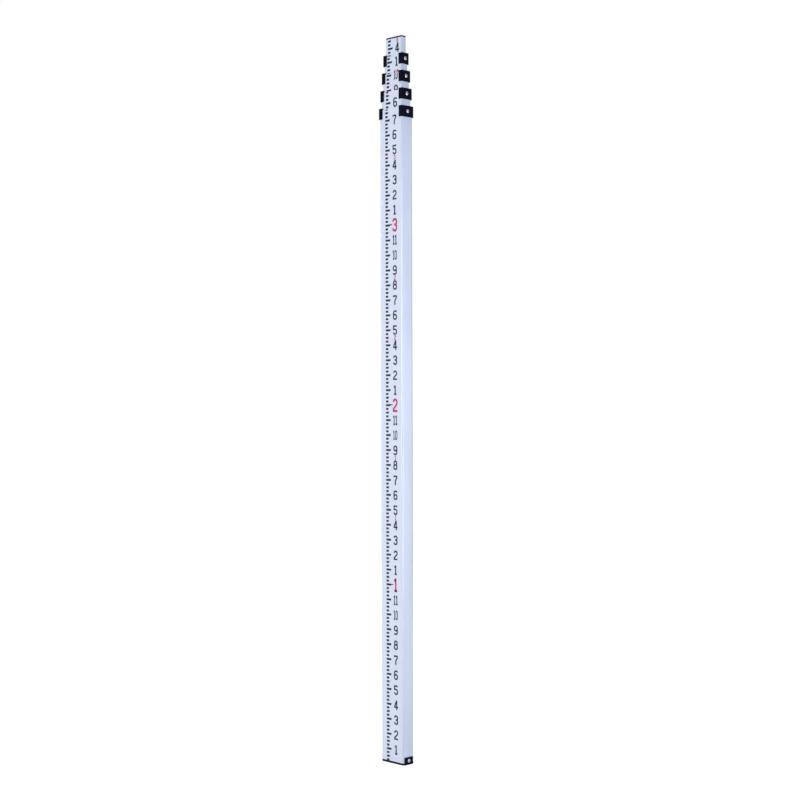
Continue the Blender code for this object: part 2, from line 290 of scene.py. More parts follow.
enamel, tree, shader = new_material("stoved enamel", (0.78, 0.82, 0.92), 0.32)
shader.inputs["Coat Weight"].default_value = 0.15
shader.inputs["Coat Roughness"].default_value = 0.12
orange_peel = noise(tree, (420, 420, 300), 2.0, 0.5)
handling = noise(tree, (38, 38, 11), 6.0, 0.62, 3.0)
mottled(tree, shader, handling, (0.745, 0.79, 0.90), (0.80, 0.84, 0.935), 0.40, 0.27)
raise_grain(tree, shader, orange_peel, 0.18, 0.00003)


def rounded_outline(width, depth, corner, sunk=False):
    """Rounded rectangle, anticlockwise, its back corners rounder; a sunk one has sunk wide faces."""
    points = []
    for quarter, (sx, sy) in enumerate(((1, 1), (-1, 1), (-1, -1), (1, -1))):
        radius = corner + BACK_ROUNDING if sy > 0 else corner
        centre = Vector((sx * (width / 2 - radius), sy * (depth / 2 - radius)))
        for step in range(CORNER_STEPS + 1):
            angle = math.pi / 2 * (quarter + step / CORNER_STEPS)
            points.append(centre + radius * Vector((math.cos(angle), math.sin(angle))))
        if sunk and quarter in (0, 2):
            edge = width / 2 - radius - PANEL_MARGIN
            for x, sink in ((edge, 0), (edge - PANEL_SLOPE, PANEL_SINK),
                            (PANEL_SLOPE - edge, PANEL_SINK), (-edge, 0)):
                points.append(Vector((sy * x, sy * (depth / 2 - sink))))
    return points


def add_socket(tree, name, kind, default=None):
    """A named input of a node tree; returns its identifier."""
    socket = tree.interface.new_socket(name=name, in_out="INPUT", socket_type="NodeSocket" + kind)
    if default is not None:
        socket.default_value = default
    return socket.identifier


def start_tree(name):
    """An empty geometry tree and its input node."""
    tree = bpy.data.node_groups.new(name, "GeometryNodeTree")
    tree.is_modifier = True
    tree.interface.new_socket(name="Geometry", in_out="OUTPUT", socket_type="NodeSocketGeometry")
    return tree, tree.nodes.new("NodeGroupInput")


def end_tree(tree, links, shape, finish):
    """Make a tree's links, then realize its shape, give it its finish and send it out."""
    settle = tree.nodes.new("GeometryNodeRealizeInstances")
    coat = tree.nodes.new("GeometryNodeSetMaterial")
    out = tree.nodes.new("NodeGroupOutput")
    for source, target in (
            *links,
            (shape, settle.inputs["Geometry"]),
            (settle.outputs["Geometry"], coat.inputs["Geometry"]),
            (finish, coat.inputs["Material"]),
            (coat.outputs["Geometry"], out.inputs["Geometry"])):
        tree.links.new(source, target)


def applied(piece):
    """Turn a piece's modifiers into its own mesh."""
    bpy.context.view_layer.update()
    evaluated = piece.evaluated_get(bpy.context.evaluated_depsgraph_get())
    mesh = bpy.data.meshes.new_from_object(evaluated)
    piece.modifiers.clear()
    piece.data = mesh
    return mesh


def plain_mesh(piece):
    """Turn a piece's modifiers into its own mesh, weld it and point its faces outwards."""
    mesh = applied(piece)
    work = bmesh.new()
    work.from_mesh(mesh)
    bmesh.ops.remove_doubles(work, verts=work.verts, dist=WELD)
    bmesh.ops.recalc_face_normals(work, faces=work.faces)
    work.to_mesh(mesh)
    work.free()
    return piece


# The drawing die: outlines in, a prism of a given length out.
die, die_in = start_tree("drawn through a die")
add_socket(die, "Outline", "Geometry")
DIE_LENGTH = add_socket(die, "Length", "Float", 1.0)
DIE_FINISH = add_socket(die, "Finish", "Material")
pull = die.nodes.new("GeometryNodeExtrudeMesh")
pull.mode = "EDGES"
trace = die.nodes.new("GeometryNodeMeshToCurve")
fill = die.nodes.new("GeometryNodeFillCurve")
turn_over = die.nodes.new("GeometryNodeFlipFaces")
lift = die.nodes.new("GeometryNodeTransform")
along = die.nodes.new("ShaderNodeCombineXYZ")
gather = die.nodes.new("GeometryNodeJoinGeometry")
weld = die.nodes.new("GeometryNodeMergeByDistance")
weld.inputs["Distance"].default_value = SEAM_WELD
end_tree(die, (
    (die_in.outputs["Outline"], pull.inputs["Mesh"]),
    (along.outputs["Vector"], pull.inputs["Offset"]),
    (die_in.outputs["Outline"], trace.inputs["Mesh"]),
    (trace.outputs["Curve"], fill.inputs["Curve"]),
    (fill.outputs["Mesh"], turn_over.inputs["Mesh"]),
    (fill.outputs["Mesh"], lift.inputs["Geometry"]),
    (die_in.outputs["Length"], along.inputs["Z"]),
    (along.outputs["Vector"], lift.inputs["Translation"]),
    (pull.outputs["Mesh"], gather.inputs["Geometry"]),
    (turn_over.outputs["Mesh"], gather.inputs["Geometry"]),
    (lift.outputs["Geometry"], gather.inputs["Geometry"]),
    (gather.outputs["Geometry"], weld.inputs["Geometry"])),
    weld.outputs["Geometry"], die_in.outputs["Finish"])


def drawn(name, outlines, low, high, finish):
    """A prism pulled through the die from one height to another; later outlines are its bores."""
    work = bmesh.new()
    for index, outline in enumerate(outlines):
        loop = outline if index == 0 else outline[::-1]
        made = [work.verts.new((point[0], point[1], 0)) for point in loop]
        for a, b in zip(made, made[1:] + made[:1]):
            work.edges.new((a, b))
    piece = placed(name, mesh_of(name, work))
    step = piece.modifiers.new("die", "NODES")
    step.node_group = die
    step[DIE_LENGTH] = high - low
    step[DIE_FINISH] = finish
    plain_mesh(piece)
    piece.data.transform(Matrix.Translation((0, 0, low)))
    return piece


def bar(start, end, radius, segments=40):
    """A round bar from one point to another, used to drill holes."""
    start = Vector(start)
    run = Vector(end) - start
    place = Matrix.Translation(start + run / 2) @ run.to_track_quat("Z", "Y").to_matrix().to_4x4()
    work = bmesh.new()
    bmesh.ops.create_cone(work, cap_ends=True, segments=segments, radius1=radius, radius2=radius,
                          depth=run.length, matrix=place)
    return placed("bar", mesh_of("bar", work))


def block(low, high):
    """A plain block between two corners, used to cut and join."""
    low = Vector(low)
    high = Vector(high)
    work = bmesh.new()
    place = Matrix.Translation((low + high) / 2) @ Matrix.Diagonal((*(high - low), 1))
    bmesh.ops.create_cube(work, size=1, matrix=place)
    return placed("block", mesh_of("block", work))


def worked(piece, steps, round_edges, segments=2, limit=50):
    """Cut and join tools into a piece, round its sharp edges, and shade it."""
    finish = next(filter(None, piece.data.materials))
    for operation, tool in steps:
        change = piece.modifiers.new(operation, "BOOLEAN")
        change.operation = operation
        change.solver = "EXACT"
        change.object = tool
    plain_mesh(piece)
    for _, tool in steps:
        bpy.data.objects.remove(tool, do_unlink=True)
    bevel = piece.modifiers.new("edges", "BEVEL")
    bevel.width = round_edges
    bevel.segments = segments
    bevel.limit_method = "ANGLE"
    bevel.angle_limit = math.radians(limit)
    mesh = plain_mesh(piece).data
    mesh.materials.clear()
    mesh.materials.append(finish)
    mesh.polygons.foreach_set("material_index", [0] * len(mesh.polygons))
    mesh.shade_smooth()
    mesh.set_sharp_from_angle(angle=SHARP_ANGLE)
    flats = piece.modifiers.new("flats", "WEIGHTED_NORMAL")
    flats.weight = 100
    flats.keep_sharp = True
    applied(piece)
    return piece


def across(width, y, height, radius):
    """A hole through both narrow sides."""
    return "DIFFERENCE", bar((-width, y, height), (width, y, height), radius)


def into_back(depth, height, radius):
    """A hole through the back face, on its centre line."""
    return "DIFFERENCE", bar((0, 0, height), (0, depth, height), radius)


def centre_of(node):
    """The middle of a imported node's box."""
    low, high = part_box(node)
    return (low + high) / 2


for number in SECTIONS:
    low, high = tube_boxes[number]
    width, depth, _ = tube_size[number]
    corner = corner_of(number)
    outlines = (rounded_outline(width, depth, corner, sunk=True),
                rounded_outline(width - 2 * WALL, depth - 2 * WALL, corner - WALL))
    tube = drawn(f"tube_{number}", outlines, low.z, high.z, anodised)
    holes = []
    if number == 1:
        holes.append(across(width, SIDE_CENTRE, centre_of("base_rivet_right").z, RIVET_HOLE_RADIUS))
    else:
        holes.append(across(width, 0, centre_of(f"lock_pin_{number}").z, PIN_HOLE_RADIUS))
        holes.append(into_back(depth, centre_of(f"lock_button_{number}").z, HOLE_RADIUS))
    if number < SECTIONS[-1]:
        rivet = centre_of(f"collar_{number}_rivet_right")
        holes.append(across(width, SIDE_CENTRE, rivet.z, RIVET_HOLE_RADIUS))
        caught = centre_of(f"lock_button_{number + 1}").z + slides[f"section_{number + 1}"]
        holes.append(into_back(depth, caught, HOLE_RADIUS))
    worked(tube, holes, DEBURR)
    tube.data.materials.append(enamel)
    for face in tube.data.polygons:
        rounding = BACK_ROUNDING if face.center.y > 0 else 0.0
        on_panel = abs(face.center.x) < width / 2 - corner - rounding - PANEL_MARGIN
        on_outside = abs(face.center.y) > depth / 2 - WALL / 2
        if abs(face.normal.y) > FACING and on_panel and on_outside:
            face.material_index = 1
    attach(tube, f"section_{number}")
    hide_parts(f"section_{number}_tube")

# ---------------------------------------------------------------------------
# Printed scale. Screen-printed ink on the front panel of every tube: a mark for each quarter
# inch from the left, black inch numbers, tall red foot numbers, and small red foot numbers
# between the inches. Each tube's run reads on from the one below when the rod is drawn out.
# ---------------------------------------------------------------------------
INCH = 0.0254
QUARTER = INCH / 4
MARK_HEIGHT = 0.0035
MARK_LEFT = -0.0135
NUMBER_CENTRE = 0.0086
INK_FILM = 0.00005
HIDDEN_RUN = 0.012
RIM_LEFT_BARE = 0.0003
NUMBER_WIDTH = 0.0094
NUMBER_HEIGHT = 0.0164
NUMBER_STROKE = 0.0027
NARROW_ONE = 0.62
DIGIT_GAP = 0.16
SOFT_STEPS = 6
FOOT_NUMBER = (0.0114, 0.0232)
SMALL_NUMBER = (0.0046, 0.0080)
MILLI = 0.001

black_ink, tree, shader = new_material("black ink", (0.006, 0.006, 0.014), 0.42)
mottle = noise(tree, (900, 900, 900), 4.0, 0.6)
mottled(tree, shader, mottle, (0.002, 0.002, 0.009), (0.008, 0.009, 0.022), 0.36, 0.52)
red_ink, tree, shader = new_material("red ink", (0.58, 0.006, 0.09), 0.42)
mottle = noise(tree, (900, 900, 900), 4.0, 0.6)
mottled(tree, shader, mottle, (0.50, 0.004, 0.075), (0.64, 0.012, 0.11), 0.36, 0.52)


def thicken(work):
    """Give flat faces in the plane of the scale the thickness of the ink film."""
    lifted = bmesh.ops.extrude_face_region(work, geom=work.faces[:])
    raised = [item for item in lifted["geom"] if isinstance(item, bmesh.types.BMVert)]
    bmesh.ops.translate(work, verts=raised, vec=(0, -INK_FILM, 0))
    bmesh.ops.recalc_face_normals(work, faces=work.faces)


def ink_shape(name, outline):
    """A film of ink over a flat outline in the plane of the scale."""
    work = bmesh.new()
    work.faces.new([work.verts.new((x, 0, z)) for x, z in outline])
    thicken(work)
    return bpy.data.objects.new(name, mesh_of(name, work))


# The marks hang from their exact height: quarter, half, inch and foot, longer in that order.
marks = bpy.data.collections.new("marks")
for name, top, bottom, spur in (("mark_0_quarter", 0.0059, 0.0059, 0), ("mark_1_half", 0.0072, 0.0062, 0),
                                ("mark_2_inch", 0.0115, 0.0104, 0), ("mark_3_foot", 0.0115, 0.0104, 0.0043)):
    outline = [(0, 0), (0, -MARK_HEIGHT), (bottom, -MARK_HEIGHT)]
    if spur:
        outline += [(top, -MARK_HEIGHT / 2), (top + spur, -MARK_HEIGHT / 2), (top + spur, 0)]
    else:
        outline.append((top, 0))
    marks.objects.link(ink_shape(name, outline))


def softened(path, closed):
    """Round a path's corners: each point is (x, z, corner radius)."""
    count = len(path)
    line = []
    for index, (x, z, radius) in enumerate(path):
        here = Vector((x, z))
        if radius == 0 or (not closed and index in (0, count - 1)):
            line.append(here)
            continue
        before = (Vector(path[index - 1][:2]) - here).normalized()
        after = (Vector(path[(index + 1) % count][:2]) - here).normalized()
        half = before.angle(after) / 2
        centre = here + (before + after).normalized() * (radius / math.sin(half))
        start = here + before * (radius / math.tan(half)) - centre
        sweep = start.angle_signed(here + after * (radius / math.tan(half)) - centre)
        for step in range(SOFT_STEPS + 1):
            line.append(centre + Matrix.Rotation(-sweep * step / SOFT_STEPS, 2) @ start)
    return line


def stroke_shape(name, path, closed):
    """A film of ink of even width along a softened path."""
    line = softened(path, closed)
    count = len(line)
    sides = []
    for index, here in enumerate(line):
        back = line[index - 1] if closed or index else here
        front = line[(index + 1) % count] if closed or index < count - 1 else here
        arrive = (here - back).normalized() if here != back else (front - here).normalized()
        leave = (front - here).normalized() if here != front else arrive
        across_line = Vector((-(arrive + leave).y, (arrive + leave).x)).normalized()
        reach = NUMBER_STROKE / 2 / MILLI / max(0.5, across_line.dot(Vector((-leave.y, leave.x))))
        sides.append((here + across_line * reach, here - across_line * reach))
    work = bmesh.new()
    rows = [[work.verts.new((side.x * MILLI, 0, side.y * MILLI)) for side in pair] for pair in sides]
    pairs = list(zip(rows, rows[1:] + rows[:1]))
    for (a, b), (c, d) in pairs if closed else pairs[:-1]:
        work.faces.new((a, b, d, c))
    thicken(work)
    return placed(name, mesh_of(name, work))


# Numerals as strokes in millimetres about the numeral's centre: an upright condensed hand.
SIDE = (NUMBER_WIDTH - NUMBER_STROKE) / 2 / MILLI
TOP = (NUMBER_HEIGHT - NUMBER_STROKE) / 2 / MILLI
END = NUMBER_HEIGHT / 2 / MILLI
numerals = (
    (((-SIDE, -TOP, 3.2), (SIDE, -TOP, 3.2), (SIDE, TOP, 3.2), (-SIDE, TOP, 3.2), True),),
    (((0, -END, 0), (0, END, 0), False),
     ((-2.9, 4.6, 0), (-1.2, 6.1, 1.0), (0, 7.4, 0), False),
     ((-2.7, -TOP, 0), (2.7, -TOP, 0), False)),
    (((-SIDE, 3.6, 0), (-SIDE, TOP, 3.2), (SIDE, TOP, 3.2), (SIDE, 1.6, 3.4), (-SIDE, -4.6, 1.8),
      (-SIDE, -TOP, 0), (SIDE + 1.0, -TOP, 0), False),),
    (((-SIDE, 3.8, 0), (-SIDE, TOP, 2.8), (SIDE, TOP, 2.8), (SIDE, 0.5, 2.2), (-1.0, 0.5, 0), False),
     ((-1.0, 0.2, 0), (SIDE, 0.2, 2.2), (SIDE, -TOP, 2.8), (-SIDE, -TOP, 2.8), (-SIDE, -3.8, 0), False)),
    (((1.6, -END, 0), (1.6, END, 0), False),
     ((1.2, 7.6, 0), (-3.5, -2.6, 0), False),
     ((-4.5, -3.5, 0), (4.7, -3.5, 0), False)),
    (((SIDE + 0.8, TOP, 0), (-SIDE, TOP, 0), (-SIDE, 1.2, 0), (SIDE, 1.2, 3.0), (SIDE, -TOP, 3.0),
      (-SIDE, -TOP, 3.0), (-SIDE, -3.8, 0), False),),
    (((-SIDE, -TOP, 3.0), (SIDE, -TOP, 3.0), (SIDE, 0.8, 3.0), (-SIDE, 0.8, 3.0), True),
     ((SIDE, 5.0, 0), (SIDE, TOP, 1.8), (-SIDE, TOP, 3.0), (-SIDE, -2.2, 0), False)),
    (((-SIDE, 4.9, 0), (-SIDE, TOP, 0.4), (SIDE, TOP, 0.6), (SIDE, 4.6, 4.0), (-0.2, -1.4, 4.0),
      (-0.2, -END, 0), False),),
    (((-SIDE, -TOP, 3.0), (SIDE, -TOP, 3.0), (SIDE, 0.6, 2.4), (-SIDE, 0.6, 2.4), True),
     ((-SIDE + 0.3, 0.6, 2.2), (SIDE - 0.3, 0.6, 2.2), (SIDE - 0.3, TOP, 2.8),
      (-SIDE + 0.3, TOP, 2.8), True)),
    (((SIDE, TOP, 3.0), (-SIDE, TOP, 3.0), (-SIDE, -0.8, 3.0), (SIDE, -0.8, 3.0), True),
     ((-SIDE, -5.0, 0), (-SIDE, -TOP, 1.8), (SIDE, -TOP, 3.0), (SIDE, 2.2, 0), False)))
digits = bpy.data.collections.new("digits")
for value, strokes in enumerate(numerals):
    pieces = [stroke_shape(f"digit_{value}", stroke[:-1], stroke[-1]) for stroke in strokes]
    for extra in pieces[1:]:
        join = pieces[0].modifiers.new("join", "BOOLEAN")
        join.operation = "UNION"
        join.solver = "EXACT"
        join.object = extra
    plain_mesh(pieces[0])
    bpy.context.scene.collection.objects.unlink(pieces[0])
    digits.objects.link(pieces[0])
    for extra in pieces[1:]:
        bpy.data.objects.remove(extra, do_unlink=True)

# Marks repeat up the tube: every 2nd is a half, every 4th an inch and every 48th a foot.
ruler, ruler_in = start_tree("scale marks")
RULER_MARKS = add_socket(ruler, "Marks", "Collection")
RULER_INK = add_socket(ruler, "Ink", "Material")
RULER_FIRST = add_socket(ruler, "First quarter inch", "Int", 1)
RULER_COUNT = add_socket(ruler, "Count", "Int", 4)
add_socket(ruler, "Pitch", "Float", QUARTER)
add_socket(ruler, "Left", "Float", MARK_LEFT)
RULER_FACE = add_socket(ruler, "Face", "Float", 0.0)
RULER_ZERO = add_socket(ruler, "Zero height", "Float", 0.0)


def arithmetic(tree, operation, a, b):
    """A maths node whose inputs are sockets or numbers."""
    node = tree.nodes.new("ShaderNodeMath")
    node.operation = operation
    for socket, value in zip(node.inputs, (a, b)):
        if isinstance(value, (int, float)):
            socket.default_value = value
        else:
            tree.links.new(value, socket)
    return node.outputs["Value"]


def children_of(tree, collection):
    """The pieces of a collection as instances to pick from."""
    shapes = tree.nodes.new("GeometryNodeCollectionInfo")
    shapes.inputs["Separate Children"].default_value = True
    shapes.inputs["Reset Children"].default_value = True
    tree.links.new(collection, shapes.inputs["Collection"])
    return shapes.outputs["Instances"]


first_up = arithmetic(ruler, "MULTIPLY", ruler_in.outputs["First quarter inch"], ruler_in.outputs["Pitch"])
start = ruler.nodes.new("ShaderNodeCombineXYZ")
pitch = ruler.nodes.new("ShaderNodeCombineXYZ")
row = ruler.nodes.new("GeometryNodeMeshLine")
place = ruler.nodes.new("GeometryNodeInstanceOnPoints")
place.inputs["Pick Instance"].default_value = True
index = ruler.nodes.new("GeometryNodeInputIndex")
nth = arithmetic(ruler, "ADD", index.outputs["Index"], ruler_in.outputs["First quarter inch"])
kind = 0
for every in (2, 4, 48):
    left_over = arithmetic(ruler, "FLOORED_MODULO", nth, every)
    kind = arithmetic(ruler, "ADD", kind, arithmetic(ruler, "LESS_THAN", left_over, 0.5))
end_tree(ruler, (
    (ruler_in.outputs["Left"], start.inputs["X"]),
    (ruler_in.outputs["Face"], start.inputs["Y"]),
    (arithmetic(ruler, "ADD", first_up, ruler_in.outputs["Zero height"]), start.inputs["Z"]),
    (ruler_in.outputs["Pitch"], pitch.inputs["Z"]),
    (ruler_in.outputs["Count"], row.inputs["Count"]),
    (start.outputs["Vector"], row.inputs["Start Location"]),
    (pitch.outputs["Vector"], row.inputs["Offset"]),
    (row.outputs["Mesh"], place.inputs["Points"]),
    (children_of(ruler, ruler_in.outputs["Marks"]), place.inputs["Instance"]),
    (kind, place.inputs["Instance Index"])),
    place.outputs["Instances"], ruler_in.outputs["Ink"])

# Numerals are set one by one where a carrier's points say, each with its digit and its size.
setter, setter_in = start_tree("numbers")
add_socket(setter, "Places", "Geometry")
SETTER_DIGITS = add_socket(setter, "Digits", "Collection")
SETTER_INK = add_socket(setter, "Ink", "Material")
place = setter.nodes.new("GeometryNodeInstanceOnPoints")
place.inputs["Pick Instance"].default_value = True
which = setter.nodes.new("GeometryNodeInputNamedAttribute")
which.data_type = "INT"
which.inputs["Name"].default_value = "digit"
size = setter.nodes.new("GeometryNodeInputNamedAttribute")
size.data_type = "FLOAT_VECTOR"
size.inputs["Name"].default_value = "size"
end_tree(setter, (
    (setter_in.outputs["Places"], place.inputs["Points"]),
    (children_of(setter, setter_in.outputs["Digits"]), place.inputs["Instance"]),
    (which.outputs["Attribute"], place.inputs["Instance Index"]),
    (size.outputs["Attribute"], place.inputs["Scale"])),
    place.outputs["Instances"], setter_in.outputs["Ink"])


def set_number(places, number, x, z, width, height):
    """Add a number's digits to a list of places, squeezed into one numeral's width."""
    text = str(number)
    widths = [NARROW_ONE if digit == "1" and len(text) > 1 else 1.0 for digit in text]
    squeeze = 1 / (sum(widths) + DIGIT_GAP * (len(text) - 1))
    at = x - width / 2
    for digit, share in zip(text, widths):
        at += width * squeeze * share / 2
        places.append((int(digit), (at, z), (squeeze * width / NUMBER_WIDTH, height / NUMBER_HEIGHT)))
        at += width * squeeze * (share / 2 + DIGIT_GAP)


def printed(name, number, ink, places, run=None):
    """One tube's ink of one colour: numerals at places, and marks along a run, cut at the rim."""
    low, high = tube_boxes[number]
    face = low.y + PANEL_SINK
    mesh = bpy.data.meshes.new(name)
    mesh.from_pydata([(x, face, z - drawn_out(number)) for _, (x, z), _ in places], [], [])
    mesh.attributes.new("digit", "INT", "POINT").data.foreach_set("value", [p[0] for p in places])
    sizes = mesh.attributes.new("size", "FLOAT_VECTOR", "POINT")
    sizes.data.foreach_set("vector", [v for _, _, (w, h) in places for v in (w, 1, h)])
    piece = placed(name, mesh)
    step = piece.modifiers.new("numbers", "NODES")
    step.node_group = setter
    step[SETTER_DIGITS] = digits
    step[SETTER_INK] = ink
    plain_mesh(piece)
    work = bmesh.new()
    work.from_mesh(piece.data)
    if run:
        line = placed("run", bpy.data.meshes.new("run"))
        step = line.modifiers.new("marks", "NODES")
        step.node_group = ruler
        step[RULER_MARKS] = marks
        step[RULER_INK] = ink
        step[RULER_FIRST] = run[0]
        step[RULER_COUNT] = run[1] - run[0] + 1
        step[RULER_FACE] = face
        step[RULER_ZERO] = -drawn_out(number)
        plain_mesh(line)
        work.from_mesh(line.data)
        bpy.data.objects.remove(line, do_unlink=True)
    everything = work.verts[:] + work.edges[:] + work.faces[:]
    cut = bmesh.ops.bisect_plane(work, geom=everything, dist=WELD, plane_no=(0, 0, 1),
                                 plane_co=(0, 0, high.z - RIM_LEFT_BARE), clear_outer=True)
    edges = [item for item in cut["geom_cut"] if isinstance(item, bmesh.types.BMEdge)]
    bmesh.ops.holes_fill(work, edges=edges, sides=0)
    bmesh.ops.recalc_face_normals(work, faces=work.faces)
    work.to_mesh(piece.data)
    work.free()
    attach(piece, f"section_{number}")


top_reading = 0.0
for number in SECTIONS:
    from_reading = max(0.0, top_reading - HIDDEN_RUN)
    top_reading = tube_boxes[number][1].z + drawn_out(number)
    first = max(1, math.ceil(from_reading / QUARTER))
    last = math.floor((top_reading - RIM_LEFT_BARE + MARK_HEIGHT / 2) / QUARTER)
    black = []
    red = []
    for inch in range(1, math.ceil(top_reading / INCH) + 1):
        feet, inches = divmod(inch, 12)
        mark_centre = inch * INCH - MARK_HEIGHT / 2
        if from_reading + NUMBER_HEIGHT / 2 < mark_centre < top_reading + NUMBER_HEIGHT / 4:
            if inches:
                set_number(black, inches, NUMBER_CENTRE, mark_centre, NUMBER_WIDTH, NUMBER_HEIGHT)
            else:
                set_number(red, feet, NUMBER_CENTRE, mark_centre, *FOOT_NUMBER)
        small_centre = (inch + 0.5) * INCH - MARK_HEIGHT / 2
        if feet and inches in (4, 8) and from_reading < small_centre < top_reading:
            set_number(red, feet, NUMBER_CENTRE, small_centre, *SMALL_NUMBER)
    printed(f"scale_{number}_black", number, black_ink, black, (first, last))
    printed(f"scale_{number}_red", number, red_ink, red)
for shape in list(marks.objects) + list(digits.objects):
    bpy.data.objects.remove(shape, do_unlink=True)

# ---------------------------------------------------------------------------
# Foot cap. A moulded black plastic shoe that closes section 1: a floor the rod stands on, a
# hollow plug inside the tube, and an ear up each narrow side, held by a blind rivet.
# ---------------------------------------------------------------------------
FIT = 0.00005
BAND_HEIGHT = 0.0030
EAR_WIDTH = 0.0190
PLUG_GAP = 0.0003
FOOT_PLUG_WALL = 0.0030
FOOT_PLUG_TOP = 0.0120
HOLLOW_CORNER = 0.0010
MOULDED_EDGE = 0.0004

plastic, tree, shader = new_material("moulded plastic", (0.004, 0.004, 0.014), 0.45)
shader.inputs["Specular IOR Level"].default_value = 0.06
shader.inputs["Specular Tint"].default_value = (0.65, 0.75, 1.0, 1)
spark = noise(tree, (2600, 2600, 2600), 3.0, 0.55)
rubbed = noise(tree, (120, 120, 70), 5.0, 0.6, 11.0)
mottled(tree, shader, rubbed, (0.0025, 0.0025, 0.010), (0.006, 0.006, 0.018), 0.52, 0.36, 0.35, 0.75)
raise_grain(tree, shader, spark, 0.35, 0.00003)

width, depth, _ = tube_size[1]
corner = corner_of(1)
cap_low, cap_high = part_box("base_cap")
inset = 2 * (WALL + PLUG_GAP)
rivet_height = centre_of("base_rivet_right").z
foot = drawn("foot_cap", (rounded_outline(width, depth, corner),), 0, BAND_HEIGHT, plastic)
ears = block((cap_low.x, SIDE_CENTRE - EAR_WIDTH / 2, 0),
             (cap_high.x, SIDE_CENTRE + EAR_WIDTH / 2, cap_high.z))
seat = drawn("seat", (rounded_outline(width + 2 * FIT, depth + 2 * FIT, corner),), BAND_HEIGHT,
             2 * cap_high.z, plastic)
plug = drawn("plug", (rounded_outline(width - inset, depth - inset, corner - WALL - PLUG_GAP),),
             BAND_HEIGHT / 2, FOOT_PLUG_TOP, plastic)
inset += 2 * FOOT_PLUG_WALL
hollow = drawn("hollow", (rounded_outline(width - inset, depth - inset, HOLLOW_CORNER),), BAND_HEIGHT,
               2 * FOOT_PLUG_TOP, plastic)
worked(foot, (("UNION", ears), ("DIFFERENCE", seat), ("UNION", plug), ("DIFFERENCE", hollow),
              across(width, SIDE_CENTRE, rivet_height, RIVET_HOLE_RADIUS)), MOULDED_EDGE, 3)
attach(foot, "section_1")
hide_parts("base_cap")

# ---------------------------------------------------------------------------
# Collars. Moulded half collars of the same plastic on the tops of sections 1 to 4: a plate on
# the narrow side, a lip round on to each wide face, and a ledge over the tube's rim that
# guides the next tube.
# ---------------------------------------------------------------------------
COLLAR_COVER = 0.0060
COLLAR_CORNER = 0.0022
COLLAR_CHAMFER = 0.0028
RIM_LEDGE = 0.0011

for number in SECTIONS[:-1]:
    width, depth, _ = tube_size[number]
    corner = corner_of(number)
    rim = tube_boxes[number][1].z
    for word, side in (("right", 1), ("left", -1)):
        low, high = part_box(f"collar_{number}_{word}")
        outer = side * (high.x if side > 0 else low.x)
        back = high.y
        reach = 4 * back
        whole = rounded_outline(2 * outer, 2 * back, COLLAR_CORNER)
        collar = drawn(f"collar_{number}_{word}_half", (whole,), low.z, high.z, plastic)
        ends = sorted((side * (width / 2 - COLLAR_COVER), -side * reach))
        other_half = block((ends[0], -reach, low.z - reach), (ends[1], reach, high.z + reach))
        seat = drawn("seat", (rounded_outline(width + 2 * FIT, depth + 2 * FIT, corner),), low.z - reach,
                     rim + FIT, plastic)
        opening = rounded_outline(width - 2 * RIM_LEDGE, depth - 2 * RIM_LEDGE, corner - RIM_LEDGE)
        throat = drawn("throat", (opening,), low.z - reach, high.z + reach, plastic)
        wedge = block((-reach, -COLLAR_CHAMFER, -COLLAR_CHAMFER), (reach, COLLAR_CHAMFER, COLLAR_CHAMFER))
        outwards = COLLAR_CHAMFER * (math.sqrt(2) - 1) / 2
        wedge.data.transform(Matrix.Translation((0, back + outwards, high.z + outwards))
                             @ Matrix.Rotation(math.radians(45), 4, "X"))
        height = centre_of(f"collar_{number}_rivet_{word}").z
        hole = bar((0, SIDE_CENTRE, height), (side * reach, SIDE_CENTRE, height), RIVET_HOLE_RADIUS)
        worked(collar, [("DIFFERENCE", tool) for tool in (other_half, seat, throat, wedge, hole)],
               MOULDED_EDGE, 3)
        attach(collar, f"section_{number}")
        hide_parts(f"collar_{number}_{word}")

# ---------------------------------------------------------------------------
# Blind rivets. Bright aluminium, set from outside through each collar half and each ear of
# the foot cap: a low domed head, and the snapped mandrel's stub down in its hole.
# ---------------------------------------------------------------------------
HEAD_RADIUS = 0.00325
HEAD_HEIGHT = 0.0011
HEAD_RIM = 0.0002
DOME_STEPS = 10
SHANK_RADIUS = 0.0019
SHANK_LENGTH = 0.0045
MANDREL_HOLE = 0.0011
MANDREL_DEPTH = 0.0008
MANDREL_STUB = 0.0008
STUB_HEIGHT = 0.0004
STUB_EDGE = 0.0001
TURNED_SHARP_ANGLE = math.radians(40)

rivet_metal, tree, shader = new_material("rivet aluminium", (0.80, 0.72, 0.75), 0.30, 1.0)
pressing = noise(tree, (1500, 1500, 1500), 4.0, 0.55)
mottled(tree, shader, pressing, (0.55, 0.48, 0.50), (0.68, 0.60, 0.62), 0.34, 0.48)
raise_grain(tree, shader, pressing, 0.2, 0.00004)


def turned(name, profile, segments=48):
    """A turned solid about Z from (radius, height) points, top centre first."""
    work = bmesh.new()
    points = [work.verts.new((radius, 0, height)) for radius, height in profile]
    for a, b in zip(points, points[1:]):
        work.edges.new((a, b))
    bmesh.ops.spin(work, geom=work.verts[:] + work.edges[:], angle=math.tau, steps=segments,
                   axis=(0, 0, 1), cent=(0, 0, 0), use_merge=True)
    bmesh.ops.remove_doubles(work, verts=work.verts, dist=WELD)
    bmesh.ops.recalc_face_normals(work, faces=work.faces)
    mesh = mesh_of(name, work)
    mesh.shade_smooth()
    mesh.set_sharp_from_angle(angle=TURNED_SHARP_ANGLE)
    return bpy.data.objects.new(name, mesh)


